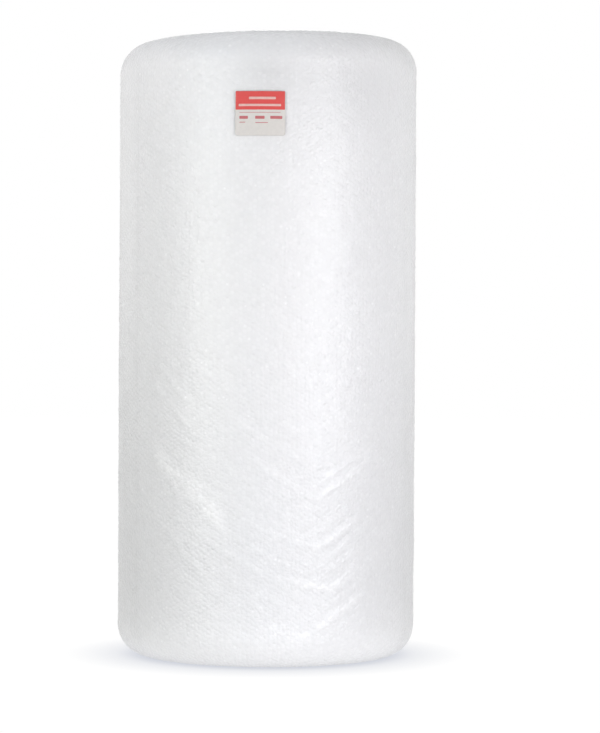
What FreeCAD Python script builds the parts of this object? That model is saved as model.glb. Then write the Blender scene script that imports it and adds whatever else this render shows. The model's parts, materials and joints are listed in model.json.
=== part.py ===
"""A jumbo roll of small-bubble wrap that stands on its end, with a printed film label near the top.

The sheet is wound on itself without a core, so the roll has an open bore where the mandrel was.
Each turn is a spiral of two half circles: the far half of the roll turns about one centre and the
near half about another, so every turn runs smoothly into the next. The same construction leaves
the sheet's free end as a step of one sheet thickness down the outside. The edges of the outer
turns draw in over a round shoulder, and the flat part of each end shows the spiral of sheet edges.

Frame: +Z up the roll's axis, the origin at the middle of the bottom end, the label towards -Y.
Lengths are in millimetres and angles in degrees.
"""

import FreeCAD
import Part
import Sketcher

import math
import os

SIZES = [
    # alias, value, what it is
    ("web_width", 1500, "width of the sheet, which is the height of the standing roll"),
    ("outer_radius", 365, "radius of the roll over its last turn"),
    ("bore_radius", 38, "radius of the open bore that the mandrel leaves"),
    ("sheet_thickness", 4.2, "thickness of one layer of bubble sheet"),
    ("turns_per_ridge", 9, "turns of sheet that one ridge on the end faces stands for"),
    ("shoulder_radius", 74, "rounding of the outer turns over each end"),
    ("rim_width", 12, "least width of the flat ring between the shoulder and the ridges"),
    ("crest_drop", 0.6, "depth of the ridge crests below the flat ring"),
    ("valley_drop", 4.2, "depth of the ridge valleys below the flat ring"),
    ("free_end_angle", 145, "direction of the sheet's free end, from +X towards +Y"),
    ("label_angle", -93, "direction of the label's middle, from +X towards +Y"),
    ("label_drop", 149, "distance from the top end down to the label's top edge"),
    ("label_width", 117, "width of the label around the roll"),
    ("label_height", 104, "height of the label"),
    ("label_corner", 5, "radius of the label's corners"),
    ("label_thickness", 0.4, "thickness of the label film"),
    ("adhesive_thickness", 0.4, "layer of adhesive, left open, between the roll and the label film"),
    ("ink_thickness", 0.1, "thickness of the printed fields"),
    ("ink_clearance", 0.05, "room between the label film and the printed fields"),
    ("ink_margin", 2, "bare film between the label's edges and the red header"),
    ("header_height", 39, "height of the red header field"),
    ("entry_count", 3, "short printed fields in the row under the header"),
    ("entry_width", 24, "width of one short printed field"),
    ("entry_height", 8, "height of one short printed field"),
    ("entry_drop", 14, "bare film between the header and the row of short fields"),
]


class Size:
    """A number together with the formula that ties it to the sheet of driving sizes."""

    def __init__(self, value, formula):
        self.value = float(value)
        self.formula = formula

    def _joined(self, other, sign, value):
        right = other.formula if isinstance(other, Size) else str(other)
        return Size(value, f"({self.formula} {sign} {right})")

    def __add__(self, other):
        return self._joined(other, "+", self.value + number(other))

    def __sub__(self, other):
        return self._joined(other, "-", self.value - number(other))

    def __mul__(self, other):
        return self._joined(other, "*", self.value * number(other))

    def __truediv__(self, other):
        return self._joined(other, "/", self.value / number(other))

    def __neg__(self):
        return Size(-self.value, f"(-{self.formula})")


ZERO = Size(0, "0")
DEGREES_PER_RADIAN = 180 / math.pi


def number(size):
    """The plain number of a Size, or the number itself."""
    return size.value if isinstance(size, Size) else size


def driving_sheet(doc):
    """Writes the spreadsheet, one aliased cell for each driving size, and returns the sizes by name."""
    sheet = doc.addObject("Spreadsheet::Sheet", "sizes")
    for row, (alias, value, meaning) in enumerate(SIZES, start=1):
        sheet.set(f"A{row}", meaning)
        sheet.set(f"B{row}", str(value))
        sheet.setAlias(f"B{row}", alias)
    doc.recompute()
    return {alias: Size(sheet.get(alias), f"sizes.{alias}") for alias, _, _ in SIZES}


def bind(thing, prop, size):
    """Ties a property of an object, or a sketch constraint, to the sheet."""
    thing.setExpression(prop, size.formula)


def turn_about_axis(thing, angle):
    """Turns an object about the roll's axis by a bound angle."""
    thing.Placement = FreeCAD.Placement(
        FreeCAD.Vector(), FreeCAD.Rotation(FreeCAD.Vector(0, 0, 1), angle.value)
    )
    bind(thing, "Placement.Rotation.Angle", angle)


def new_sketch(body, name, role):
    """An empty sketch on one of the body's own base planes."""
    sketch = body.newObject("Sketcher::SketchObject", name)
    plane = next(f for f in body.Origin.OriginFeatures if f.Role == role)
    sketch.AttachmentSupport = [(plane, "")]
    sketch.MapMode = "FlatFace"
    return sketch


def pin(sketch, curve, end, across=None, up=None):
    """Holds one end of a curve at bound distances from the sketch's two axes."""
    for kind, axis, size in (("DistanceX", -2, across), ("DistanceY", -1, up)):
        if size is None:
            continue
        if size.value == 0:
            sketch.addConstraint(Sketcher.Constraint("PointOnObject", curve, end, axis))
        elif size.value > 0:
            index = sketch.addConstraint(
                Sketcher.Constraint(kind, -1, 1, curve, end, size.value)
            )
            bind(sketch, f"Constraints[{index}]", size)
        else:
            index = sketch.addConstraint(
                Sketcher.Constraint(kind, curve, end, -1, 1, -size.value)
            )
            bind(sketch, f"Constraints[{index}]", -size)


def draw_loop(sketch, corners):
    """A closed loop of straight lines through bound corners, given as (across, up) pairs."""
    points = [FreeCAD.Vector(a.value, u.value, 0) for a, u in corners]
    count = len(points)
    for i, start in enumerate(points):
        sketch.addGeometry(Part.LineSegment(start, points[(i + 1) % count]), False)
    for i, (across, up) in enumerate(corners):
        sketch.addConstraint(
            Sketcher.Constraint("Coincident", i, 2, (i + 1) % count, 1)
        )
        pin(sketch, i, 1, across, up)


def draw_winding_axis(sketch, across, height):
    """A construction line parallel to the roll's axis, which the turns wind about."""
    line = Part.LineSegment(
        FreeCAD.Vector(across.value, 0, 0), FreeCAD.Vector(across.value, height.value, 0)
    )
    index = sketch.addGeometry(line, True)
    pin(sketch, index, 1, across, ZERO)
    pin(sketch, index, 2, across, height)


def half_outline(body, name, size, centre):
    """The outline of one half of the roll, from its own winding centre to the rounded outside."""
    height, radius, corner = size["web_width"], size["outer_radius"], size["shoulder_radius"]
    sketch = new_sketch(body, name, "XZ_Plane")
    c, top, out, r = centre.value, height.value, radius.value, corner.value
    point = FreeCAD.Vector
    flat = FreeCAD.Vector(0, 0, 1)
    low = Part.Circle(point(out - r, r, 0), flat, r)
    high = Part.Circle(point(out - r, top - r, 0), flat, r)
    quarter = math.pi / 2
    sketch.addGeometry(
        [
            Part.LineSegment(point(c, 0, 0), point(out - r, 0, 0)),
            Part.ArcOfCircle(low, -quarter, 0),
            Part.LineSegment(point(out, r, 0), point(out, top - r, 0)),
            Part.ArcOfCircle(high, 0, quarter),
            Part.LineSegment(point(out - r, top, 0), point(c, top, 0)),
            Part.LineSegment(point(c, top, 0), point(c, 0, 0)),
        ],
        False,
    )
    for first, second in ((0, 1), (1, 2), (2, 3), (3, 4)):
        sketch.addConstraint(Sketcher.Constraint("Tangent", first, 2, second, 1))
    for first, second in ((4, 5), (5, 0)):
        sketch.addConstraint(Sketcher.Constraint("Coincident", first, 2, second, 1))
    for line in (0, 4):
        sketch.addConstraint(Sketcher.Constraint("Horizontal", line))
    sketch.addConstraint(Sketcher.Constraint("Vertical", 5))
    for arc in (1, 3):
        index = sketch.addConstraint(Sketcher.Constraint("Radius", arc, r))
        bind(sketch, f"Constraints[{index}]", corner)
    pin(sketch, 0, 1, centre, ZERO)
    pin(sketch, 2, 1, across=radius)
    pin(sketch, 5, 1, up=height)
    draw_winding_axis(sketch, centre, height)
    return sketch


def sheet_edge_comb(body, name, size, end, inward):
    """The zigzag between neighbouring sheet edges that is cut from one end of the roll."""
    pitch = size["turns_per_ridge"] * size["sheet_thickness"]
    crest, valley = end + size["crest_drop"] * inward, end + size["valley_drop"] * inward
    outside = end - size["valley_drop"] * inward
    reach = size["outer_radius"] - size["shoulder_radius"] - size["rim_width"]
    ridges = int(reach.value // pitch.value)
    corners = [(pitch / 2, outside)]
    for ridge in range(1, ridges + 1):
        corners.append((pitch * (ridge - 0.5), valley))
        corners.append((pitch * ridge, crest))
    corners.append((pitch * ridges, outside))
    sketch = new_sketch(body, name, "XZ_Plane")
    draw_loop(sketch, corners)
    draw_winding_axis(sketch, pitch / 2, size["web_width"])
    return sketch


def half_turn(body, kind, name, sketch, axis, near):
    """Winds a sketch through half a turn, on the near side of the roll or on the far side."""
    feature = body.newObject(f"PartDesign::{kind}", name)
    feature.Profile = sketch
    feature.ReferenceAxis = (sketch, [axis])
    feature.Angle = 180
    feature.Reversed = near
    sketch.Visibility = False
    return feature


def make_roll(doc, size):
    """The whole winding as one solid, with its free end, shoulders, sheet edges and bore."""
    body = doc.addObject("PartDesign::Body", "roll")
    body.Label = "bubble_wrap_roll"
    lap_offset = size["sheet_thickness"] / 2
    for near, centre, side in ((True, ZERO, "near"), (False, lap_offset, "far")):
        outline = half_outline(body, f"{side}_outline", size, centre)
        half_turn(body, "Revolution", f"{side}_turns", outline, "Axis0", near)
        doc.recompute()
    for end, inward, place in ((size["web_width"], -1, "top"), (ZERO, 1, "bottom")):
        comb = sheet_edge_comb(body, f"{place}_edges", size, end, inward)
        half_turn(body, "Groove", f"{place}_near_edges", comb, "V_Axis", True)
        half_turn(body, "Groove", f"{place}_far_edges", comb, "Axis0", False)
        doc.recompute()

    mouth = new_sketch(body, "bore_circle", "XY_Plane")
    circle = Part.Circle(
        FreeCAD.Vector(), FreeCAD.Vector(0, 0, 1), size["bore_radius"].value
    )
    mouth.addGeometry(circle, False)
    mouth.addConstraint(Sketcher.Constraint("Coincident", 0, 3, -1, 1))
    index = mouth.addConstraint(
        Sketcher.Constraint("Radius", 0, size["bore_radius"].value)
    )
    bind(mouth, f"Constraints[{index}]", size["bore_radius"])
    bore = body.newObject("PartDesign::Pocket", "bore")
    bore.Profile = mouth
    bore.Type = "ThroughAll"
    bore.Reversed = True
    turn_about_axis(body, size["free_end_angle"] - 180)
    return body


def curved_field(doc, name, inner, thickness, width, height, bottom, middle):
    """A thin plate that lies on a cylinder about the roll's axis, its middle at a bound direction."""
    angle = width / inner * DEGREES_PER_RADIAN
    shells = []
    for part, radius in (("outside", inner + thickness), ("inside", inner)):
        shell = doc.addObject("Part::Cylinder", f"{name}_{part}")
        bind(shell, "Radius", radius)
        bind(shell, "Height", height)
        bind(shell, "Angle", angle)
        bind(shell, "Placement.Base.z", bottom)
        turn_about_axis(shell, middle - angle / 2)
        shells.append(shell)
    plate = doc.addObject("Part::Cut", name)
    plate.Base, plate.Tool = shells
    return plate


def make_label(doc, size):
    """The film label, which follows the outermost turn, with rounded corners."""
    height, inner = size["label_height"], size["outer_radius"] + size["adhesive_thickness"]
    plate = curved_field(
        doc,
        "label_plate",
        inner,
        size["label_thickness"],
        size["label_width"],
        height,
        size["web_width"] - size["label_drop"] - height,
        size["label_angle"],
    )
    doc.recompute()
    label = doc.addObject("Part::Fillet", "label")
    label.Label = "roll_label"
    label.Base = plate
    short = size["label_thickness"].value * 1.5
    corner = size["label_corner"].value
    label.Edges = [
        (i, corner, corner)
        for i, edge in enumerate(plate.Shape.Edges, start=1)
        if edge.Length < short
    ]
    return label


def make_print(doc, size):
    """The printed fields: a red header and a row of short dark fields under it, in thin ink."""
    film = size["outer_radius"] + size["adhesive_thickness"] + size["label_thickness"]
    inner = film + size["ink_clearance"]
    ink = size["ink_thickness"]
    margin = size["ink_margin"]
    label_top = size["web_width"] - size["label_drop"]
    header_bottom = label_top - margin - size["header_height"]
    fields = [
        curved_field(
            doc,
            "header",
            inner,
            ink,
            size["label_width"] - margin * 2,
            size["header_height"],
            header_bottom,
            size["label_angle"],
        )
    ]
    count = int(size["entry_count"].value)
    step = (size["label_width"] - margin * 2) / size["entry_count"]
    entry_bottom = header_bottom - size["entry_drop"] - size["entry_height"]
    for place in range(count):
        along = step * (place - (count - 1) / 2)
        fields.append(
            curved_field(
                doc,
                f"entry_{place + 1}",
                inner,
                ink,
                size["entry_width"],
                size["entry_height"],
                entry_bottom,
                size["label_angle"] + along / inner * DEGREES_PER_RADIAN,
            )
        )
    printed = doc.addObject("Part::Compound", "print_fields")
    printed.Label = "label_print"
    printed.Links = fields
    return printed


def main():
    doc = FreeCAD.newDocument("bubble_wrap_roll")
    size = driving_sheet(doc)
    nodes = [make_roll(doc, size), make_label(doc, size), make_print(doc, size)]
    doc.recompute()
    failed = [o.Name for o in doc.Objects if {"Invalid", "Error"} & set(o.State)]
    if failed:
        raise RuntimeError(f"these objects failed to build: {failed}")
    for node in nodes:
        if node.Shape.isNull() or not node.Shape.isValid():
            raise RuntimeError(f"{node.Label} has no valid shape")
    os.makedirs("parts", exist_ok=True)
    for node in nodes:
        node.Shape.exportStep(f"parts/{node.Label}.step")
        box = node.Shape.BoundBox
        print(
            f"{node.Label}: {len(node.Shape.Solids)} solids, {node.Shape.Volume:.0f} mm3,",
            f"{box.XLength:.2f} x {box.YLength:.2f} x {box.ZLength:.2f} mm,",
            f"from {box.XMin:.2f}, {box.YMin:.2f}, {box.ZMin:.2f}",
        )


main()
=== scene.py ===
"""A jumbo roll of small-bubble wrap on its end, dressed in bubbled film, with a printed film label.

Lengths are in metres and angles in degrees unless a name says otherwise. Angles about the roll
run from +X towards +Y, and the label is on the -Y side.
"""

import json
import math

import bpy
import numpy as np
from mathutils import Matrix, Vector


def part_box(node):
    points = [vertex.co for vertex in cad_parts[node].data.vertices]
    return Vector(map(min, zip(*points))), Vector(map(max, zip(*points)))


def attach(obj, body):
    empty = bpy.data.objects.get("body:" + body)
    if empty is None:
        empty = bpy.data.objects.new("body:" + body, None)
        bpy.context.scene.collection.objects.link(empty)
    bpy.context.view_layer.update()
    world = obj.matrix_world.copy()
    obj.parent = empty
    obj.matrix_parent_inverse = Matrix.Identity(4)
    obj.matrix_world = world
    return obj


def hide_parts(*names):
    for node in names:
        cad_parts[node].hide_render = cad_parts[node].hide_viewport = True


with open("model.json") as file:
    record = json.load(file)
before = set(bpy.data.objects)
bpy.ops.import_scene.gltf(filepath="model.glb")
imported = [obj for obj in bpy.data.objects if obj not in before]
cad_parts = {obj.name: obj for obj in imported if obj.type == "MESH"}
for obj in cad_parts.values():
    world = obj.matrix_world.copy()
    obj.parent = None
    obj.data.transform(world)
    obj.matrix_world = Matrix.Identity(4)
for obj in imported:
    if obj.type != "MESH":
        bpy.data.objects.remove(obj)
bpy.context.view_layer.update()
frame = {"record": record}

bl_info = {
    "name": "Bubble Wrap Roll",
    "version": (1, 0, 0),
    "blender": (4, 5, 0),
    "location": "3D View > Sidebar > Bubble Wrap",
    "description": "Builds a roll of bubble wrap with its label in a plain studio",
    "category": "Add Mesh",
}

ROOT = "root"
ROLL_NODE = "bubble_wrap_roll"
LABEL_NODE = "roll_label"
PRINT_NODE = "label_print"
ROLL_LOW, ROLL_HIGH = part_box(ROLL_NODE)
LABEL_LOW, LABEL_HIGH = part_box(LABEL_NODE)
BORE = next(m for m in frame["record"]["mounts"] if m["name"] == "bore")
MM = 0.001


class WindingSizes(bpy.types.PropertyGroup):
    """How the sheet is wound."""

    height: bpy.props.FloatProperty(
        name="Sheet width",
        description="Width of the sheet, which is the height of the standing roll",
        default=ROLL_HIGH[2] - ROLL_LOW[2],
        unit="LENGTH",
    )
    radius: bpy.props.FloatProperty(
        name="Outer radius",
        description="Radius over the bubbles of the outermost turn",
        default=-ROLL_LOW[1],
        unit="LENGTH",
    )
    bore: bpy.props.FloatProperty(
        name="Bore radius",
        description="Radius of the open bore that the mandrel leaves",
        default=BORE["dims"]["r_mm"] * MM,
        unit="LENGTH",
    )
    sheet: bpy.props.FloatProperty(
        name="Sheet thickness",
        description="Thickness of one layer, from the flat film to the bubble tops",
        default=0.0042,
        precision=4,
        unit="LENGTH",
    )
    free_end: bpy.props.FloatProperty(
        name="Free end",
        description="Direction of the sheet's free end, in degrees from +X towards +Y",
        default=145,
    )
    shoulder_width: bpy.props.FloatProperty(
        name="Shoulder width",
        description="How far the outer turns draw in over each end",
        default=0.070,
        unit="LENGTH",
    )
    shoulder_height: bpy.props.FloatProperty(
        name="Shoulder height",
        description="How far below the end the shoulder begins",
        default=0.076,
        unit="LENGTH",
    )
    lean: bpy.props.FloatProperty(
        name="Top lean",
        description="Rise of the top end per metre towards +X, because the turns have slipped",
        default=0.0189,
        precision=4,
    )


class BubbleSizes(bpy.types.PropertyGroup):
    """The bubbles of the film."""

    column_pitch: bpy.props.FloatProperty(
        name="Column pitch",
        description="Distance between neighbouring upright columns of bubbles",
        default=0.0105,
        precision=4,
        unit="LENGTH",
    )
    dome: bpy.props.FloatProperty(
        name="Dome height",
        description="Height of a bubble over the film between the bubbles",
        default=0.0013,
        precision=4,
        unit="LENGTH",
    )
    unevenness: bpy.props.FloatProperty(
        name="Unevenness",
        description="Share by which the bubbles differ in height",
        default=0.75,
        subtype="FACTOR",
    )
    film_colour: bpy.props.FloatVectorProperty(
        name="Film colour",
        description="Colour of many layers of clear film",
        default=(0.89, 0.89, 0.90),
        size=3,
        subtype="COLOR",
    )


class LabelColours(bpy.types.PropertyGroup):
    """The colours of the label and its print."""

    film: bpy.props.FloatVectorProperty(
        name="Label film",
        description="Colour of the label's bare film",
        default=(0.72, 0.69, 0.66),
        size=3,
        subtype="COLOR",
    )
    header: bpy.props.FloatVectorProperty(
        name="Header",
        description="Colour of the printed header field",
        default=(0.72, 0.075, 0.07),
        size=3,
        subtype="COLOR",
    )
    entry: bpy.props.FloatVectorProperty(
        name="Entries",
        description="Colour of the short printed fields",
        default=(0.55, 0.15, 0.16),
        size=3,
        subtype="COLOR",
    )
    bars: bpy.props.FloatVectorProperty(
        name="Bars",
        description="Colour of the pale bars on the header",
        default=(0.80, 0.50, 0.46),
        size=3,
        subtype="COLOR",
    )


class StudioSizes(bpy.types.PropertyGroup):
    """The camera and the lamps."""

    camera_distance: bpy.props.FloatProperty(
        name="Camera distance",
        description="Distance from the roll's axis to the camera",
        default=6.5,
        unit="LENGTH",
    )
    camera_height: bpy.props.FloatProperty(
        name="Camera height",
        description="Height of the camera above the floor",
        default=0.7641,
        unit="LENGTH",
    )
    lens: bpy.props.FloatProperty(
        name="Lens",
        description="Focal length in millimetres for a sensor of 36 mm along the picture's height",
        default=129.46,
    )
    lamp_level: bpy.props.FloatProperty(
        name="Lamp level", description="Share of the softboxes' own power", default=1.0
    )
    room_light: bpy.props.FloatProperty(
        name="Room light", description="Strength of the even light from all round", default=0.20
    )
    # the floor glows with this light; it stands in for light thrown back off the floor
    floor_light: bpy.props.FloatProperty(
        name="Floor light", description="Strength of the light that the floor gives back", default=0.36
    )


PROPERTY_GROUPS = {
    "winding": WindingSizes,
    "bubbles": BubbleSizes,
    "label": LabelColours,
    "studio": StudioSizes,
}


def smooth_step(value, low, high):
    """0 below low, 1 above high, and a smooth rise between them."""
    share = np.clip((value - low) / (high - low), 0, 1)
    return share * share * (3 - 2 * share)


def value_noise(across, up, cell, seed):
    """Smooth random values from -1 to 1 over a plane, about one swing to each cell."""
    table = np.random.default_rng(seed).uniform(-1, 1, (64, 64))
    x, y = np.asarray(across) / cell, np.asarray(up) / cell
    column, row = np.floor(x).astype(int), np.floor(y).astype(int)
    fx, fy = x - column, y - row
    fx, fy = fx * fx * (3 - 2 * fx), fy * fy * (3 - 2 * fy)
    size = len(table)
    left, right = column % size, (column + 1) % size
    low, high = row % size, (row + 1) % size
    bottom = table[left, low] * (1 - fx) + table[right, low] * fx
    top = table[left, high] * (1 - fx) + table[right, high] * fx
    return bottom * (1 - fy) + top * fy


def winding_radius(angle, winding):
    """Radius of the outermost turn: a half circle about the axis, then one about a point beside it."""
    far = np.mod(angle - winding.free_end, 360) > 180
    offset = winding.sheet / 2
    turn = np.radians(angle - winding.free_end - 180)
    far_radius = winding.radius - offset
    moved = offset * np.cos(turn) + np.sqrt(far_radius**2 - (offset * np.sin(turn)) ** 2)
    return np.where(far, moved, winding.radius)


class Profile:
    """The line from one end of the roll over its shoulder, down the side and under the other."""

    LIP = 0.006

    def __init__(self, winding):
        self.width, self.rise = winding.shoulder_width, winding.shoulder_height
        self.height = winding.height
        turn = np.linspace(0, math.pi / 2, 200)
        steps = np.hypot(self.width * np.cos(turn), self.rise * np.sin(turn))
        along = np.concatenate(([0], np.cumsum((steps[1:] + steps[:-1]) / 2 * turn[1])))
        self.turn, self.along = turn, along
        self.shoulder = along[-1]
        self.wall = self.height - 2 * self.rise
        self.length = 2 * (self.LIP + self.shoulder) + self.wall

    def at(self, distance):
        """How far in from the side a point is, its height, and its outward normal."""
        half = self.length / 2
        from_end = half - np.abs(distance - half)
        on_ring = from_end < self.LIP
        turn = np.interp(from_end - self.LIP, self.along, self.turn)
        inward = self.width * (1 - np.sin(turn)) + np.where(on_ring, self.LIP - from_end, 0)
        below_end = self.rise * (1 - np.cos(turn)) + np.maximum(
            from_end - self.LIP - self.shoulder, 0
        )
        outward, axial = self.rise * np.sin(turn), self.width * np.cos(turn)
        size = np.hypot(outward, axial)
        top = distance < half
        height = np.where(top, self.height - below_end, below_end)
        return inward, height, outward / size, np.where(top, axial, -axial) / size


class Swag:
    """One hanging crease: it sags to its lowest point and rises to both sides, with a painted
    highlight along its crest.
    """

    BEND = 0.03
    FADE = 8

    def __init__(self, middle, lowest, left, right, slope_left, slope_right, ridge, width, painted_light):
        self.middle, self.lowest = middle, lowest
        self.left, self.right = left, right
        self.slope_left, self.slope_right = slope_left, slope_right
        self.ridge, self.width, self.painted_light = ridge, width, painted_light
        self.seed = int(abs(lowest) * 1000)

    def at(self, angle, height, radius):
        """How far the crease pushes the film out at a point, and how much painted highlight lies on
        its crest there.
        """
        across = np.radians(angle - self.middle) * radius
        slope = np.where(across < 0, self.slope_left, self.slope_right)
        reach = np.sqrt(across**2 + self.BEND**2)
        steep = slope * across / reach
        wander = 0.0035 * value_noise(across, across * 0, 0.035, self.seed)
        above = height - self.lowest - slope * (reach - self.BEND) + wander
        off = above / np.sqrt(1 + steep**2)
        shown = smooth_step(angle, self.left, self.left + self.FADE)
        shown = shown * (1 - smooth_step(angle, self.right - self.FADE, self.right))
        shown = shown * (0.80 + 0.30 * value_noise(across, across * 0, 0.028, self.seed + 50))
        crest = np.exp(-((off / self.width) ** 2))
        trough = np.exp(-(((off + 1.6 * self.width) / (1.4 * self.width)) ** 2))
        return self.ridge * shown * (crest - 0.35 * trough), self.painted_light * shown * crest


def swags():
    """The creases of the front, which hang from both sides, and a few plainer ones at the back."""
    # middle, lowest point, left and right ends, slopes to left and right, ridge height, width and
    # strength of the painted highlight of each crease
    strong = [
        Swag(-77, 0.221, -140, -102, 0.80, 0.80, 0.0012, 0.021, 1.4),
        Swag(-71, 0.405, -99, -46, 0.68, 0.72, 0.0012, 0.008, 0.65),
        Swag(-72, 0.286, -98, -48, 0.50, 0.75, 0.0012, 0.008, 0.60),
        Swag(-66, 0.190, -88, -48, 0.25, 1.10, 0.0013, 0.009, 0.85),
        Swag(-77, 0.082, -92, -48, 0.35, 0.68, 0.0013, 0.009, 1.00),
        Swag(-77, 0.012, -150, -108, 1.00, 1.00, 0.0009, 0.010, 0.15),
        Swag(-77, 0.344, -142, -114, 0.93, 0.93, 0.0009, 0.009, 0.45),
        Swag(-77, 0.400, -140, -116, 0.93, 0.93, 0.0007, 0.008, 0.20),
        Swag(-72, 0.440, -74, -42, 0.60, 0.55, 0.0010, 0.007, 0.55),
    ]
    rng = np.random.default_rng(11)
    faint = []
    for step in range(16):
        lowest = 0.08 + 0.040 * step + rng.uniform(-0.012, 0.012)
        weight = rng.uniform(0.5, 1.2) * (1 - 0.6 * step / 16)
        middle = -74 + rng.uniform(-6, 5)
        faint.append(
            Swag(
                middle,
                lowest,
                middle - rng.uniform(25, 65),
                middle + rng.uniform(18, 40),
                rng.uniform(0.5, 0.85),
                rng.uniform(0.55, 0.85),
                0.0006 * weight,
                rng.uniform(0.006, 0.011),
                0.22 * weight,
            )
        )
    hidden = [
        Swag(
            100 + rng.uniform(-35, 25),
            rng.uniform(0.15, 1.2),
            20 + rng.uniform(-10, 15),
            140 - rng.uniform(0, 40),
            rng.uniform(-0.5, 0.6),
            rng.uniform(-0.5, 0.6),
            0.0010 * rng.uniform(0.5, 1.2),
            rng.uniform(0.012, 0.020),
            0.12,
        )
        for _ in range(10)
    ]
    return strong + faint + hidden


# depth, size and seed of each layer of dents in the outer turn, and how far it is drawn out upwards
DENTS = (
    (0.0007, 0.16, 1, 1.0),
    (0.0004, 0.05, 2, 1.0),
    (0.0003, 0.022, 3, 0.35),
    (0.0004, 0.014, 4, 1.0),
)

# angle, height, reach in degrees, reach upwards and strength of each patch of painted shade, where the
# film is painted darker
PAINTED_SHADE_PATCHES = (
    (-90, 1.41, 10, 0.09, 1.1),
    (-60, 1.36, 20, 0.10, 0.9),
)


def drape(angle, height, winding):
    """How far the soft outer turn stands out from, or sinks below, an even winding, and its painted
    light: painted highlights on the creases less painted shade in a few patches.
    """
    arc = np.radians(np.mod(angle - winding.free_end, 360)) * winding.radius
    push = 0
    for depth, size, seed, drawn in DENTS:
        push = push + depth * value_noise(arc, height * drawn, size, seed)
    turned = np.mod(angle + 180, 360) - 180
    wrapped = np.where(turned > winding.free_end, turned - 360, turned)
    painted_light = np.zeros_like(push)
    for swag in swags():
        stand, shine = swag.at(wrapped, height, winding.radius)
        push, painted_light = push + stand, painted_light + shine
    # painted shade: each patch takes painted light away, so the film is darker there
    for middle, level, wide, tall, strength in PAINTED_SHADE_PATCHES:
        off = ((wrapped - middle) / wide) ** 2 + ((height - level) / tall) ** 2
        painted_light = painted_light - strength * np.exp(-off)
    return push, painted_light


def lean_lift(x, height, winding):
    """How far the slipped turns lift a point, growing from nothing at the foot."""
    return winding.lean * x * (height / winding.height)


class BubbleLattice:
    """Staggered bubbles over an unrolled sheet, each a dome of 18 triangles in a six-sided cell."""

    RING_SHARE = 0.56
    RING_HEIGHT = 0.70
    STRAY = 0.40
    TILT = 0.8
    # middle and reach of the patch where most bubbles have painted highlights
    BUSY_ARC, BUSY_DOWN, BUSY_REACH = 0.93, 0.20, 0.10
    CORNERS = ((2, 0), (1, 1), (-1, 1), (-2, 0), (-1, -1), (1, -1))

    def __init__(self, length, width, column_pitch, seed):
        self.columns = 2 * round(length / column_pitch / 2)
        self.pitch = length / self.columns
        self.row = self.pitch * 2 / math.sqrt(3)
        self.rows = math.ceil(width / self.row)
        self.length, self.width = length, width
        rng = np.random.default_rng(seed)
        column, row = np.meshgrid(np.arange(self.columns), np.arange(self.rows + 1), indexing="ij")
        self.column = column.ravel()
        self.middle = np.stack([3 * column + 2, 2 * row + column % 2], axis=-1).reshape(-1, 2)
        self.tone = rng.uniform(0, 1, len(self.middle))
        self.tilt = rng.uniform(-1, 1, (len(self.middle), 2))
        self.shift = self.STRAY * rng.uniform(-1, 1, (len(self.middle), 2))

    def painted_glints(self, tops):
        """Painted highlights: extra brightness painted on the few bubbles that stand for glinting
        ones, thicker in some patches.
        """
        rng = np.random.default_rng(61)
        patch = np.maximum(value_noise(tops[:, 0], tops[:, 1], 0.13, 62), 0)
        off = np.hypot(tops[:, 0] - self.BUSY_ARC, tops[:, 1] - self.BUSY_DOWN) / self.BUSY_REACH
        busy = np.exp(-(off**2))
        caught = rng.uniform(0, 1, len(tops)) < 0.015 + 0.09 * patch + 0.12 * busy
        return np.where(caught, rng.uniform(0.8, 2.6, len(tops)), 0)

    def build(self):
        """Lattice places, dome heights, tones and triangles, with the cells' corners shared."""
        cells = len(self.middle)
        corners = self.middle[:, None, :] + np.array(self.CORNERS)[None]
        keys, shared = np.unique(corners.reshape(-1, 2), axis=0, return_inverse=True)
        shared = shared.reshape(cells, 6)
        tops = self.middle + self.shift
        ring = tops[:, None, :] + np.array(self.CORNERS)[None] * self.RING_SHARE
        places = np.concatenate([keys, ring.reshape(-1, 2), tops]).astype(float)
        unit = np.array([self.pitch / 3, self.row / 2])
        places = places * unit
        corner_count = len(keys)
        ring_id = corner_count + np.arange(cells * 6).reshape(cells, 6)
        top_id = corner_count + cells * 6 + np.arange(cells)
        uneven = 0.5 * self.tilt[:, :1] * np.array([c[0] / 2 for c in self.CORNERS])
        uneven = uneven + 0.5 * self.tilt[:, 1:] * np.array([c[1] for c in self.CORNERS])
        heights = np.concatenate(
            [
                np.zeros(corner_count),
                (self.RING_HEIGHT * (1 + self.TILT * uneven)).ravel(),
                np.ones(cells),
            ]
        )
        tone = np.concatenate([np.full(corner_count, 0.5), np.repeat(self.tone, 6), self.tone])
        # painted highlights added to the tone at the tops of the glinting bubbles
        tone[top_id] += self.painted_glints(tops * unit)
        faces = []
        for side in range(6):
            following = (side + 1) % 6
            faces.append(np.stack([top_id, ring_id[:, side], ring_id[:, following]], axis=1))
            faces.append(
                np.stack([ring_id[:, side], shared[:, side], shared[:, following]], axis=1)
            )
            faces.append(
                np.stack([ring_id[:, side], shared[:, following], ring_id[:, following]], axis=1)
            )
        faces = np.concatenate(faces)
        owner = np.tile(self.column, 18)
        places[:, 0] = np.clip(places[:, 0], 0, self.length)
        places[:, 1] = np.clip(places[:, 1], 0, self.width)
        return places, heights, tone, faces, owner


def drop_flat_triangles(points, faces):
    """The triangles that have an area."""
    a, b, c = (points[faces[:, i]] for i in range(3))
    area = np.linalg.norm(np.cross(b - a, c - a), axis=1)
    return area > 1e-10


def point_normals(points, faces):
    """A smooth normal for each point."""
    a, b, c = (points[faces[:, i]] for i in range(3))
    normal = np.cross(b - a, c - a)
    total = np.zeros_like(points)
    for corner in range(3):
        np.add.at(total, faces[:, corner], normal)
    return total / np.maximum(np.linalg.norm(total, axis=1, keepdims=True), 1e-12)


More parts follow.
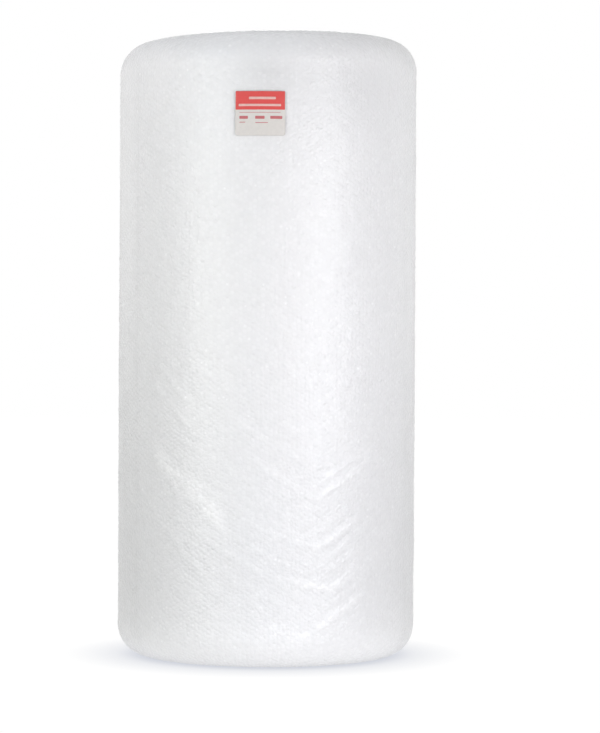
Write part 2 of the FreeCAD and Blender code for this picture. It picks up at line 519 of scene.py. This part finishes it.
def add_piece(name, points, faces, material, slot, replaced, values=None, normals=None):
    """A smooth mesh piece that rides on the roll's body and stands for a CAD node."""
    used, faces = np.unique(faces, return_inverse=True)
    corners = faces.reshape(-1, 3)
    mesh = bpy.data.meshes.new(name)
    mesh.vertices.add(len(used))
    mesh.vertices.foreach_set("co", points[used].astype(np.float32).ravel())
    mesh.loops.add(corners.size)
    mesh.loops.foreach_set("vertex_index", corners.astype(np.int32).ravel())
    mesh.polygons.add(len(corners))
    mesh.polygons.foreach_set("loop_start", np.arange(0, corners.size, 3, dtype=np.int32))
    mesh.update(calc_edges=True)
    mesh.polygons.foreach_set("use_smooth", np.ones(len(corners), dtype=bool))
    for key, value in (values or {}).items():
        layer = mesh.attributes.new(key, "FLOAT", "POINT")
        layer.data.foreach_set("value", value[used].astype(np.float32))
    if normals is not None:
        mesh.normals_split_custom_set_from_vertices(normals[used])
    mesh.materials.append(material)
    piece = bpy.data.objects.new(name, mesh)
    bpy.context.scene.collection.objects.link(piece)
    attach(piece, ROOT)
    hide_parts(replaced)
    return piece


def new_material(name, colour, roughness):
    """A material with its shader, and the two as a pair."""
    material = bpy.data.materials.new(name)
    material.use_nodes = True
    shader = material.node_tree.nodes["Principled BSDF"]
    shader.inputs["Base Color"].default_value = (*colour, 1)
    shader.inputs["Roughness"].default_value = roughness
    return material, shader


def add_node(material, kind, **settings):
    """A node with its settings, input sockets by name and plain attributes in lower case."""
    node = material.node_tree.nodes.new(kind)
    for key, value in settings.items():
        if key in node.inputs:
            node.inputs[key].default_value = value
        else:
            setattr(node, key, value)
    return node


def join(material, start, end):
    """Links two sockets."""
    material.node_tree.links.new(start, end)


def multiply_add(material, value, factor, addend):
    """A socket with value times factor plus addend, where the last two are sockets or numbers."""
    node = add_node(material, "ShaderNodeMath", operation="MULTIPLY_ADD")
    join(material, value, node.inputs[0])
    for socket, given in ((node.inputs[1], factor), (node.inputs[2], addend)):
        if isinstance(given, float):
            socket.default_value = given
        else:
            join(material, given, socket)
    return node.outputs[0]


def noise_in_place(material, scale):
    """A noise texture that is fixed to the piece."""
    place = add_node(material, "ShaderNodeTexCoord")
    noise = add_node(material, "ShaderNodeTexNoise", Scale=scale, Detail=3.0)
    join(material, place.outputs["Object"], noise.inputs["Vector"])
    return noise.outputs["Fac"]


def tint_base(material, shader, colour, shade):
    """Gives the shader a colour that is scaled by a shade."""
    tint = add_node(material, "ShaderNodeVectorMath", operation="SCALE")
    tint.inputs[0].default_value = colour
    join(material, shade, tint.inputs["Scale"])
    join(material, tint.outputs[0], shader.inputs["Base Color"])


def add_bump(material, height, strength, depth, socket):
    """Bump of a strength and a depth in metres for one normal socket."""
    bump = add_node(material, "ShaderNodeBump", Strength=strength, Distance=depth)
    join(material, height, bump.inputs["Height"])
    join(material, bump.outputs["Normal"], socket)


FILM_ROUGHNESS = 0.34
FILM_COAT = 0.55
FILM_COAT_ROUGHNESS = 0.09
FILM_SCATTER = 0.35
FILM_SCATTER_REACH = 0.02
BASE_TONE = 0.915
CLOUD_TONE = 0.035
VALLEY_PAINTED_SHADE = 0.015
BUBBLE_TONE = 0.050
PAINTED_LIGHT_TONE = 0.03
PAINTED_LIGHT_GRAIN = 0.11
CLOUD_SCALE = 9.0
CRINKLE_SCALE = 170.0
CRINKLE_STRENGTH = 0.8
CRINKLE_DEPTH = 0.0018
COAT_CRINKLE_DEPTH = 0.0052


def film_material(name, colour):
    """Layers of clear bubble film: glossy, slightly see-through and a little uneven in tone, with
    painted highlights and painted shade in its colour.
    """
    material, shader = new_material(name, colour, FILM_ROUGHNESS)
    shader.inputs["Specular IOR Level"].default_value = 0.5
    shader.inputs["Coat Weight"].default_value = FILM_COAT
    shader.inputs["Coat Roughness"].default_value = FILM_COAT_ROUGHNESS
    shader.inputs["Subsurface Weight"].default_value = FILM_SCATTER
    shader.inputs["Subsurface Radius"].default_value = (FILM_SCATTER_REACH,) * 3
    shader.inputs["Subsurface Scale"].default_value = 1.0

    dome, tone, painted_light = (
        add_node(material, "ShaderNodeAttribute", attribute_name=key).outputs["Fac"]
        for key in ("dome", "tone", "painted_light")
    )
    cloud = noise_in_place(material, CLOUD_SCALE)
    shade = multiply_add(material, cloud, CLOUD_TONE, BASE_TONE)
    # painted shade: darker in the valleys between the bubbles, lighter on their tops
    shade = multiply_add(material, dome, VALLEY_PAINTED_SHADE, shade)
    # the tone holds the bubbles' random differences and, on the glinting ones, painted highlights
    shade = multiply_add(material, tone, BUBBLE_TONE, shade)
    # painted light: highlights and shade painted into the colour, stronger on some bubbles than on
    # others
    painted_light_scale = multiply_add(material, tone, PAINTED_LIGHT_GRAIN, PAINTED_LIGHT_TONE)
    shade = multiply_add(material, painted_light, painted_light_scale, shade)
    tint_base(material, shader, colour, shade)

    crinkle = noise_in_place(material, CRINKLE_SCALE)
    add_bump(material, crinkle, CRINKLE_STRENGTH, CRINKLE_DEPTH, shader.inputs["Normal"])
    add_bump(material, crinkle, CRINKLE_STRENGTH, COAT_CRINKLE_DEPTH, shader.inputs["Coat Normal"])
    return material


def shared_film():
    """The film material, made once."""
    name = "clear_bubble_film"
    if name not in bpy.data.materials:
        film_material(name, bpy.context.scene.bubbles.film_colour)
    return bpy.data.materials[name]


def outer_turn(winding, bubbles):
    """Places, triangles and values of the whole outermost turn."""
    profile = Profile(winding)
    lattice = BubbleLattice(
        2 * math.pi * winding.radius, profile.length, bubbles.column_pitch, seed=5
    )
    places, heights, tone, faces, owner = lattice.build()
    arc, down = places[:, 0], places[:, 1]
    warp = 0.0022 * value_noise(arc, down, 0.11, 7)
    sag = 0.0030 * value_noise(arc, down, 0.14, 8)
    inside = smooth_step(np.minimum(arc, lattice.length - arc), 0, 0.03)
    arc = arc + warp * inside
    inside = smooth_step(np.minimum(down, profile.length - down), 0, 0.03)
    down = down + sag * inside
    angle = winding.free_end + np.degrees(arc / winding.radius)
    inward, height, outward, axial = profile.at(down)
    wall = smooth_step(np.minimum(height, winding.height - height), 0.02, 0.12)
    push, painted_light = drape(angle, height, winding)
    push, painted_light = push * wall, painted_light * wall
    edge = profile.LIP * 0.8
    dome = heights * smooth_step(np.minimum(down, profile.length - down), edge, edge * 2)
    patch = 0.75 + 0.35 * value_noise(arc, down, 0.07, 9)
    size = patch * (1 - bubbles.unevenness * np.minimum(tone, 1))
    stand = push - bubbles.dome * (1 - dome * size)
    radius = winding_radius(angle, winding) - inward + stand * outward
    turn = np.radians(angle)
    x, y = radius * np.cos(turn), radius * np.sin(turn)
    z = height + stand * axial
    z = z + lean_lift(x, z, winding)
    points = np.stack([x, y, z], axis=1)
    values = {"dome": dome, "tone": tone, "painted_light": painted_light}
    return points, values, faces, owner / lattice.columns * 360 + winding.free_end


class ROLL_OT_outer_turn(bpy.types.Operator):
    """Adds the outermost turn of bubbled film, in four lengths round the roll"""

    bl_idname = "bubble_roll.outer_turn"
    bl_label = "Outer Turn"

    # first and last angle of each length, in degrees round from the free end
    LENGTHS = {"left": (0, 65), "front": (65, 190), "right": (190, 280), "back": (280, 360)}

    def execute(self, context):
        winding, bubbles = context.scene.winding, context.scene.bubbles
        points, values, faces, angle = outer_turn(winding, bubbles)
        keep = drop_flat_triangles(points, faces)
        faces, angle = faces[keep], angle[keep]
        normals = point_normals(points, faces)
        for side, (start, end) in self.LENGTHS.items():
            past = angle - winding.free_end
            chosen = faces[(past >= start) & (past < end)]
            add_piece(
                f"outer_turn_{side}",
                points,
                chosen,
                shared_film(),
                "bubble_film",
                ROLL_NODE,
                values,
                normals,
            )
        return {"FINISHED"}


class ROLL_OT_free_end(bpy.types.Operator):
    """Adds the cut edge of the sheet where the outermost turn ends"""

    bl_idname = "bubble_roll.free_end"
    bl_label = "Free End"

    def execute(self, context):
        winding = context.scene.winding
        profile = Profile(winding)
        down = np.linspace(0.02, profile.length - 0.02, 700)
        inward, height, outward, axial = profile.at(down)
        rows = []
        wave = 0.0006 * value_noise(down, down * 0, 0.012, 21)
        for share in (0.05, -0.5, -1.15):
            stand = share * winding.sheet + wave
            turn = math.radians(winding.free_end) - (1 - abs(share)) * 0.002
            radius = winding.radius - inward + stand * outward
            x, y = radius * math.cos(turn), radius * math.sin(turn)
            z = height + stand * axial
            rows.append(np.stack([x, y, z + lean_lift(x, z, winding)], axis=1))
        points = np.concatenate(rows)
        faces = grid_faces(len(rows), len(down))
        # the cut edge takes part of the painted valley shade
        values = {"dome": np.full(len(points), 0.3), "tone": np.full(len(points), 0.5)}
        add_piece(
            "free_end", points, faces, shared_film(), "bubble_film", ROLL_NODE, values
        )
        return {"FINISHED"}


def split_quads(first, second, third, fourth):
    """Two triangles for each four-sided face."""
    halves = (first, second, third), (first, third, fourth)
    return np.concatenate([np.stack(half, axis=1) for half in halves])


def grid_faces(rows, columns):
    """Triangles over a grid of points stored row by row."""
    row, column = np.meshgrid(np.arange(rows - 1), np.arange(columns - 1), indexing="ij")
    first = (row * columns + column).ravel()
    return split_quads(first, first + 1, first + columns + 1, first + columns)


# for each column of an edge, rim first: share of a sheet inward, depth below the end, a dome value for
# the painted valley shade, and painted light, a painted highlight on the rim and painted shade down
# between the turns
EDGE_SHARES = (0.0, 0.22, 0.62)
EDGE_DEPTHS = (0.0004, 0.0030, 0.0042)
EDGE_PAINTED_SHADE_LEVELS = (1.0, 0.4, 0.0)
EDGE_PAINTED_LIGHT = (0.3, -0.4, -1.6)
EDGE_STEPS = 260


def sheet_edges(winding, top):
    """The spiral of sheet edges on one end of the roll, from the bore to under the shoulder."""
    around = EDGE_STEPS
    first_turn = int(winding.shoulder_width // winding.sheet)
    last_turn = math.ceil((winding.radius - winding.bore) / winding.sheet) + 1
    steps = (last_turn - first_turn) * around
    step = np.arange(steps)
    angle = winding.free_end + 360 * (step % around) / around
    turn = first_turn + step // around
    rng = np.random.default_rng(31 if top else 32)
    columns = []
    for share, depth in zip(EDGE_SHARES, EDGE_DEPTHS):
        radius = winding_radius(angle, winding) - winding.sheet * (turn + share)
        radius = radius + 0.0004 * rng.uniform(-1, 1, steps)
        radius = np.maximum(radius, winding.bore - 0.0003)
        arc = np.radians(angle) * radius
        ragged = 0.0010 * value_noise(arc, turn, 0.05, 33) + 0.0004 * rng.uniform(-1, 1, steps)
        sunk = 0.0015 * np.abs(value_noise(radius, angle / 3000, 0.014, 34))
        under = 0.004 * (1 - smooth_step(turn, first_turn, first_turn + 2))
        below = depth + sunk + under + np.maximum(ragged, -depth * 0.9)
        x, y = radius * np.cos(np.radians(angle)), radius * np.sin(np.radians(angle))
        z = winding.height - below if top else below
        columns.append(np.stack([x, y, z + lean_lift(x, z, winding)], axis=1))
    points = np.stack(columns, axis=1).reshape(-1, 3)
    count = len(EDGE_SHARES)
    faces = []
    here = np.arange(steps - 1) * count
    for column in range(count - 1):
        start, end = here + column, here + column + 1
        faces.append(split_quads(start, end, end + count, start + count))
    here = np.arange(steps - 1 - around)
    start, end = here * count + count - 1, (here + around) * count
    faces.append(split_quads(start, end, end + count, start + count))
    faces = np.concatenate(faces)
    # rings: painted light and shade that differ at random from turn to turn, so that the turns show
    rings = 0.8 * value_noise(step / around, step * 0, 1.7, 35)
    rings = rings + 0.5 * value_noise(arc, turn, 0.02, 36)
    values = {
        "dome": np.tile(EDGE_PAINTED_SHADE_LEVELS, steps),
        "tone": np.repeat(rng.uniform(0, 1, steps), count),
        "painted_light": np.repeat(rings, count) + np.tile(EDGE_PAINTED_LIGHT, steps),
    }
    return points, faces if top else faces[:, ::-1], values


class ROLL_OT_ends(bpy.types.Operator):
    """Adds the two ends, where every turn's cut edge shows as a spiral"""

    bl_idname = "bubble_roll.ends"
    bl_label = "Sheet Edges"

    def execute(self, context):
        winding = context.scene.winding
        for name, top in (("top_sheet_edges", True), ("bottom_sheet_edges", False)):
            points, faces, values = sheet_edges(winding, top)
            add_piece(
                name,
                points,
                faces,
                shared_film(),
                "bubble_film",
                ROLL_NODE,
                values,
            )
        return {"FINISHED"}


class ROLL_OT_bore(bpy.types.Operator):
    """Adds the bubbled wall of the open bore"""

    bl_idname = "bubble_roll.bore"
    bl_label = "Bore"

    def execute(self, context):
        winding, bubbles = context.scene.winding, context.scene.bubbles
        margin = 0.0006
        length = 2 * math.pi * winding.bore
        lattice = BubbleLattice(
            length, winding.height - 2 * margin, bubbles.column_pitch, seed=6
        )
        places, heights, tone, faces, _ = lattice.build()
        turn = places[:, 0] / winding.bore
        height = margin + places[:, 1]
        near_end = smooth_step(
            np.minimum(places[:, 1], lattice.width - places[:, 1]), 0.001, 0.008
        )
        radius = winding.bore - bubbles.dome * 0.6 * heights * near_end
        radius = radius + 0.0008 * np.sin(turn) * np.sin(height * 9)
        x, y = radius * np.cos(turn), radius * np.sin(turn)
        z = height + lean_lift(x, height, winding)
        points = np.stack([x, y, z], axis=1)
        keep = drop_flat_triangles(points, faces)
        add_piece(
            "bore_wall",
            points,
            faces[keep],
            shared_film(),
            "bubble_film",
            ROLL_NODE,
            {"dome": heights, "tone": tone},
        )
        return {"FINISHED"}


class LabelPlace:
    """Where the label lies on the roll, read from the CAD label."""

    CLEARANCE = 0.0006
    FOLD_ACROSS, FOLD_LEAN, FOLD_TOP = 0.055, 0.05, 0.058
    FOLD_DEPTH, FOLD_WIDTH = 0.0005, 0.002

    def __init__(self):
        self.radius = -LABEL_LOW[1]
        self.left = -math.degrees(math.acos(LABEL_LOW[0] / self.radius))
        self.right = -math.degrees(math.acos(LABEL_HIGH[0] / self.radius))
        self.bottom, self.top = LABEL_LOW[2], LABEL_HIGH[2]
        self.width = math.radians(self.right - self.left) * self.radius
        self.height = self.top - self.bottom

    def point(self, across, up, stand):
        """A point of the label from its lower left corner, standing off the film by a distance."""
        turn = math.radians(self.left) + across / self.radius
        wave = 0.0007 * value_noise(across, up, 0.030, 41)
        wave = wave + 0.0004 * value_noise(across, up, 0.011, 42)
        off = (across - self.FOLD_ACROSS + self.FOLD_LEAN * up) / self.FOLD_WIDTH
        wave = wave - self.FOLD_DEPTH * np.exp(-(off**2)) * (up < self.FOLD_TOP)
        radius = self.radius + stand + wave + self.CLEARANCE
        x, y = radius * np.cos(turn), radius * np.sin(turn)
        return np.stack([x, y, self.bottom + up], axis=1)


def rounded_field(place, left, bottom, width, height, corner, stand, thickness, step=0.002):
    """Points and triangles of a thin closed field that follows the label, with rounded corners."""
    columns = max(int(width / step), 4)
    rows = max(int(height / step), 3)
    across = np.linspace(0, 1, columns + 1)
    up = np.linspace(0, 1, rows + 1)
    across, up = np.meshgrid(across, up)
    across, up = across.ravel() * width, up.ravel() * height
    from_side = np.minimum(across, width - across)
    if corner > 0:
        near_end = np.minimum(up, height - up)
        cut = corner - np.sqrt(np.maximum(corner**2 - np.maximum(corner - near_end, 0) ** 2, 0))
        half = width / 2
        across = half + (across - half) * (half - cut) / half
    outer = place.point(left + across, bottom + up, stand + thickness)
    inner = place.point(left + across, bottom + up, stand)
    faces = grid_faces(rows + 1, columns + 1)
    count = len(outer)
    rim = np.concatenate(
        [
            np.arange(columns + 1),
            (np.arange(1, rows + 1)) * (columns + 1) + columns,
            rows * (columns + 1) + np.arange(columns - 1, -1, -1),
            np.arange(rows - 1, 0, -1) * (columns + 1),
        ]
    )
    after = np.roll(rim, -1)
    side = np.concatenate(
        [
            np.stack([rim, rim + count, after + count], axis=1),
            np.stack([rim, after + count, after], axis=1),
        ]
    )
    points = np.concatenate([outer, inner])
    return points, np.concatenate([faces, faces[:, ::-1] + count, side])


def join_fields(fields):
    """Several fields as one set of points and triangles."""
    points, faces, count = [], [], 0
    for some_points, some_faces in fields:
        points.append(some_points)
        faces.append(some_faces + count)
        count += len(some_points)
    return np.concatenate(points), np.concatenate(faces)


def label_material(name, colour, roughness, mottle):
    """Printed label film: satin, with a slightly uneven tone."""
    material, shader = new_material(name, colour, roughness)
    shader.inputs["Coat Weight"].default_value = 0.25
    shader.inputs["Coat Roughness"].default_value = 0.2
    noise = noise_in_place(material, 120.0)
    shade = multiply_add(material, noise, mottle, 1 - mottle / 2)
    tint_base(material, shader, colour, shade)
    add_bump(material, noise, 0.15, 0.0005, shader.inputs["Normal"])
    return material


FILM_CORNER, FILM_THICKNESS = 0.005, 0.0003
INK_THICKNESS = 0.00012
INK_STAND, BAR_STAND = 0.0004, 0.0006
FIELD_CORNER, ENTRY_CORNER, ENTRY_STEP = 0.001, 0.0006, 0.001
HEADER_BOTTOM, HEADER_MARGIN = 0.060, 0.0008

# height over the header's lower edge, left inset, right inset and width of each pale bar
BARS = (
    (0.024, 0.032, 0.022, 0.0060),
    (0.008, 0.008, 0.010, 0.0055),
)

# left end, lower edge, length and width of each short printed field and thin line
ENTRIES = (
    (0.010, 0.0385, 0.020, 0.0070),
    (0.047, 0.0385, 0.022, 0.0070),
    (0.082, 0.0385, 0.028, 0.0070),
    (0.010, 0.0300, 0.014, 0.0016),
    (0.047, 0.0290, 0.030, 0.0016),
    (0.010, 0.0530, 0.096, 0.0010),
)


class ROLL_OT_label(bpy.types.Operator):
    """Adds the film label with its plain printed fields"""

    bl_idname = "bubble_roll.label"
    bl_label = "Label"

    def execute(self, context):
        colours = context.scene.label
        place = LabelPlace()
        film = rounded_field(place, 0, 0, place.width, place.height, FILM_CORNER, 0, FILM_THICKNESS)
        add_piece(
            "label_film",
            *film,
            label_material("label_film", colours.film, 0.38, 0.12),
            "label_film",
            LABEL_NODE,
        )
        header = rounded_field(
            place,
            HEADER_MARGIN,
            HEADER_BOTTOM,
            place.width - 2 * HEADER_MARGIN,
            place.height - HEADER_BOTTOM - HEADER_MARGIN,
            FIELD_CORNER,
            INK_STAND,
            INK_THICKNESS,
        )
        add_piece(
            "label_header",
            *header,
            label_material("header_ink", colours.header, 0.32, 0.08),
            "label_ink",
            PRINT_NODE,
        )
        bars = [
            rounded_field(
                place,
                left,
                HEADER_BOTTOM + up,
                place.width - left - right,
                tall,
                FIELD_CORNER,
                BAR_STAND,
                INK_THICKNESS,
            )
            for up, left, right, tall in BARS
        ]
        add_piece(
            "header_bars",
            *join_fields(bars),
            label_material("bar_ink", colours.bars, 0.35, 0.3),
            "label_film",
            PRINT_NODE,
        )
        entries = [
            rounded_field(place, *field, ENTRY_CORNER, INK_STAND, INK_THICKNESS, ENTRY_STEP)
            for field in ENTRIES
        ]
        add_piece(
            "label_entries",
            *join_fields(entries),
            label_material("entry_ink", colours.entry, 0.35, 0.3),
            "label_ink",
            PRINT_NODE,
        )
        return {"FINISHED"}


class ROLL_OT_studio(bpy.types.Operator):
    """Adds the pale floor, the softboxes, the room light and the camera"""

    bl_idname = "bubble_roll.studio"
    bl_label = "Studio"

    def execute(self, context):
        studio = context.scene.studio
        add_floor(studio.floor_light)
        add_room_light(studio.room_light)
        for softbox in SOFTBOXES:
            add_softbox(*softbox, studio.lamp_level)
        add_camera(studio)
        scene = context.scene
        scene.view_settings.view_transform = "Standard"
        return {"FINISHED"}


FLOOR_HALF = 20
FOOT_MIDDLE = (0, -0.10, 0)
# the floor's glow, which lights the roll: FOOT_LIGHT times the floor light within FOOT_REACH of the
# foot, PLAIN_LIGHT times beyond PLAIN_FROM
FOOT_REACH, PLAIN_FROM = 0.38, 0.52
FOOT_LIGHT, PLAIN_LIGHT = 2.4, 0.75
# painted shadow: the floor the camera sees darkens towards SHADOW_TONE within SHADOW_REACH of the roll
SHADOW_REACH = 0.15
SHADOW_TONE = (0.64, 0.66, 0.72, 1)
FLOOR_TONE = (1.01, 1.01, 1.01, 1)


def add_floor(strength):
    """A wide pale floor that shows white to the camera with a painted soft shadow round the roll's
    foot, and that glows to light the roll, most near its foot.
    """
    half = FLOOR_HALF
    mesh = bpy.data.meshes.new("floor")
    corners = [(-half, -half, 0), (half, -half, 0), (half, half, 0), (-half, half, 0)]
    mesh.from_pydata(corners, [], [(0, 1, 2, 3)])
    floor = bpy.data.objects.new("floor", mesh)
    bpy.context.scene.collection.objects.link(floor)
    material, shader = new_material("pale_floor", (0, 0, 0), 0.9)
    shader.inputs["Specular IOR Level"].default_value = 0.0
    shader.inputs["Emission Color"].default_value = (1, 1, 1, 1)
    place = add_node(material, "ShaderNodeTexCoord")
    front = add_node(material, "ShaderNodeVectorMath", operation="DISTANCE")
    front.inputs[1].default_value = FOOT_MIDDLE
    join(material, place.outputs["Object"], front.inputs[0])
    fall = add_node(material, "ShaderNodeMapRange", interpolation_type="SMOOTHSTEP")
    fall.inputs["From Min"].default_value = FOOT_REACH
    fall.inputs["From Max"].default_value = PLAIN_FROM
    fall.inputs["To Min"].default_value = FOOT_LIGHT * strength
    fall.inputs["To Max"].default_value = PLAIN_LIGHT * strength
    join(material, front.outputs["Value"], fall.inputs["Value"])
    join(material, fall.outputs["Result"], shader.inputs["Emission Strength"])
    # painted shadow from ambient occlusion, not a shadow cast by the lamps
    contact = add_node(material, "ShaderNodeAmbientOcclusion", Distance=SHADOW_REACH, samples=8)
    tone = add_node(material, "ShaderNodeMix", data_type="RGBA")
    join(material, contact.outputs["AO"], tone.inputs["Factor"])
    tone.inputs[6].default_value = SHADOW_TONE
    tone.inputs[7].default_value = FLOOR_TONE
    white = add_node(material, "ShaderNodeEmission", Strength=1.0)
    join(material, tone.outputs[2], white.inputs["Color"])
    chosen = add_node(material, "ShaderNodeMixShader")
    join(material, background_seen(material), chosen.inputs["Fac"])
    join(material, shader.outputs[0], chosen.inputs[1])
    join(material, white.outputs[0], chosen.inputs[2])
    output = material.node_tree.nodes["Material Output"]
    join(material, chosen.outputs[0], output.inputs["Surface"])
    mesh.materials.append(material)


def background_seen(owner):
    """A socket that is 1 for what the camera sees straight, mirrored or through clear film."""
    path = add_node(owner, "ShaderNodeLightPath")
    first = add_node(owner, "ShaderNodeMath", operation="MAXIMUM")
    second = add_node(owner, "ShaderNodeMath", operation="MAXIMUM")
    join(owner, path.outputs["Is Camera Ray"], first.inputs[0])
    join(owner, path.outputs["Is Glossy Ray"], first.inputs[1])
    join(owner, first.outputs[0], second.inputs[0])
    join(owner, path.outputs["Is Transmission Ray"], second.inputs[1])
    return second.outputs[0]


def add_room_light(strength):
    """Even light from all round, which shows as white behind the roll."""
    world = bpy.data.worlds.new("room")
    world.use_nodes = True
    bpy.context.scene.world = world
    background = world.node_tree.nodes["Background"]
    level = add_node(world, "ShaderNodeMix", data_type="RGBA")
    join(world, background_seen(world), level.inputs["Factor"])
    level.inputs[6].default_value = (strength, strength, strength, 1)
    level.inputs[7].default_value = (1, 1, 1, 1)
    join(world, level.outputs[2], background.inputs["Color"])


WHITE = (1.0, 1.0, 1.0)
WARM_WHITE = (0.98, 1.0, 0.94)
COOL_WHITE = (0.97, 0.98, 1.0)
COOL = (0.65, 0.8, 1.0)
WARM = (1.0, 0.85, 0.85)

SOFTBOXES = (
    # name, azimuth to the camera's right, distance, height, aim height, size, watts, colour
    ("left_softbox", -45, 2.4, 1.0, 1.0, (0.7, 1.9), 20, WARM_WHITE),
    ("right_softbox", 42, 2.4, 0.8, 0.8, (0.8, 1.8), 28, COOL_WHITE),
    ("left_front_softbox", -22, 3.0, 0.45, 0.45, (0.5, 0.9), 1.5, WARM),
    ("front_softbox", 15, 3.0, 0.7, 0.7, (0.3, 0.8), 7.5, WARM),
    ("low_softbox", 0, 1.5, 0.14, 0.06, (1.0, 0.2), 1.2, COOL),
    ("high_softbox", -42, 1.8, 2.4, 1.3, (1.3, 0.8), 4.5, COOL),
    ("left_side_softbox", -80, 1.5, 1.8, 1.2, (0.4, 0.6), 2.2, WARM),
    ("right_side_softbox", 80, 1.5, 1.8, 1.2, (0.4, 0.6), 1, WHITE),
    ("overhead_softbox", 0, 0.01, 3.3, 1.5, (1.5, 1.5), 8, WHITE),
    ("left_back_softbox", -132, 2.4, 1.25, 1.05, (0.5, 1.2), 1.4, WHITE),
    ("right_back_softbox", 132, 2.4, 1.25, 1.05, (0.5, 1.2), 1.4, WHITE),
    ("back_softbox", 180, 2.6, 1.3, 1.0, (0.6, 1.8), 20, WHITE),
)


def add_softbox(name, azimuth, distance, height, aim, size, power, colour, level):
    """A softbox that faces the roll's axis, azimuth to the camera's right."""
    light = bpy.data.lights.new(name, "AREA")
    light.shape = "RECTANGLE"
    light.size, light.size_y = size
    light.energy = power * level
    light.color = colour
    lamp = bpy.data.objects.new(name, light)
    turn = math.radians(azimuth)
    lamp.location = (distance * math.sin(turn), -distance * math.cos(turn), height)
    tilt = math.atan2(height - aim, distance)
    lamp.rotation_euler = (math.pi / 2 - tilt, 0, turn)
    bpy.context.scene.collection.objects.link(lamp)


SENSOR = 36


def add_camera(studio):
    """The camera of the photograph, turned a little so that the roll stands left of the middle."""
    yaw, pitch, roll = -0.0125, -0.0088, -0.0055
    data = bpy.data.cameras.new("camera")
    data.sensor_fit = "VERTICAL"
    data.sensor_height = SENSOR
    data.sensor_width = SENSOR
    data.lens = studio.lens
    camera = bpy.data.objects.new("camera", data)
    turned = (
        Matrix.Rotation(yaw, 4, "Z")
        @ Matrix.Rotation(pitch, 4, "X")
        @ Matrix.Rotation(roll, 4, "Y")
        @ Matrix.Rotation(math.pi / 2, 4, "X")
    )
    place = (0, -studio.camera_distance, studio.camera_height)
    camera.matrix_world = Matrix.Translation(place) @ turned
    bpy.context.scene.collection.objects.link(camera)
    bpy.context.scene.camera = camera


OPERATORS = (
    ROLL_OT_outer_turn,
    ROLL_OT_free_end,
    ROLL_OT_ends,
    ROLL_OT_bore,
    ROLL_OT_label,
    ROLL_OT_studio,
)


class ROLL_PT_panel(bpy.types.Panel):
    """The sizes and the steps of the roll"""

    bl_idname = "ROLL_PT_panel"
    bl_label = "Bubble Wrap Roll"
    bl_space_type = "VIEW_3D"
    bl_region_type = "UI"
    bl_category = "Bubble Wrap"

    def draw(self, context):
        for group in PROPERTY_GROUPS:
            box = self.layout.box()
            values = getattr(context.scene, group)
            for prop in values.__annotations__:
                box.prop(values, prop)
        for operator in OPERATORS:
            self.layout.operator(operator.bl_idname)


CLASSES = (*PROPERTY_GROUPS.values(), *OPERATORS, ROLL_PT_panel)


def register():
    """Adds the classes and the settings."""
    for cls in CLASSES:
        bpy.utils.register_class(cls)
    for name, group in PROPERTY_GROUPS.items():
        setattr(bpy.types.Scene, name, bpy.props.PointerProperty(type=group))


def unregister():
    """Takes the settings and the classes away."""
    for name in PROPERTY_GROUPS:
        delattr(bpy.types.Scene, name)
    for cls in reversed(CLASSES):
        bpy.utils.unregister_class(cls)


def main():
    """Builds the whole scene."""
    register()
    for operator in OPERATORS:
        group, name = operator.bl_idname.split(".")
        getattr(getattr(bpy.ops, group), name)()


if __name__ == "__main__":
    main()
